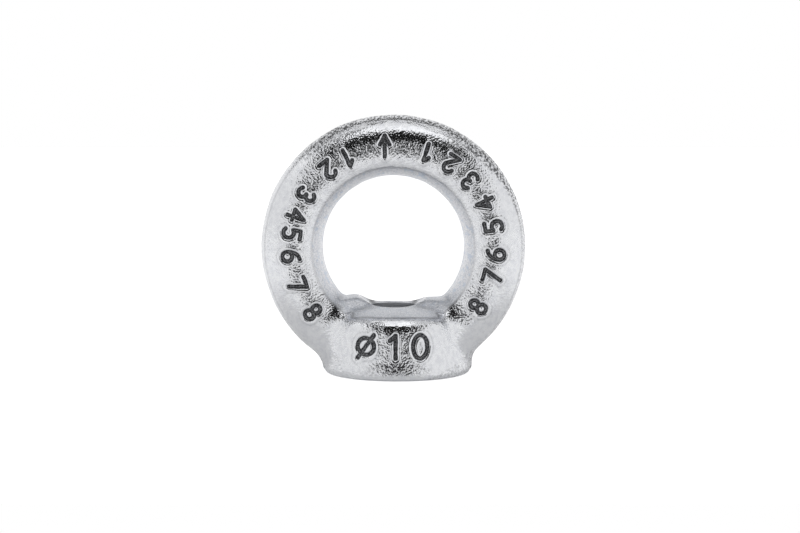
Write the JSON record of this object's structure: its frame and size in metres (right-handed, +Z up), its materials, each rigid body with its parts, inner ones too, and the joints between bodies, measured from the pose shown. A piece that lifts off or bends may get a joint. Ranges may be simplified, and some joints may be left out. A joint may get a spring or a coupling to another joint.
{
  "type": "lifting eye nut",
  "caption": "Forged lifting eye nut: a round ring on a tapered boss with a threaded through hole, for screwing onto a stud to lift a load.",
  "frame": {"origin": "middle of the base, on the axis of the thread", "axes": "+Z up the thread to the top of the ring, X across the ring, Y through the eye"},
  "size_m": [0.045, 0.0252, 0.044],
  "materials": {
    "zinc_plated_steel": "bright zinc plating on a rough forging"
  },
  "bodies": {
    "root": {"eye_nut": "zinc_plated_steel"}
  },
  "joints": []
}
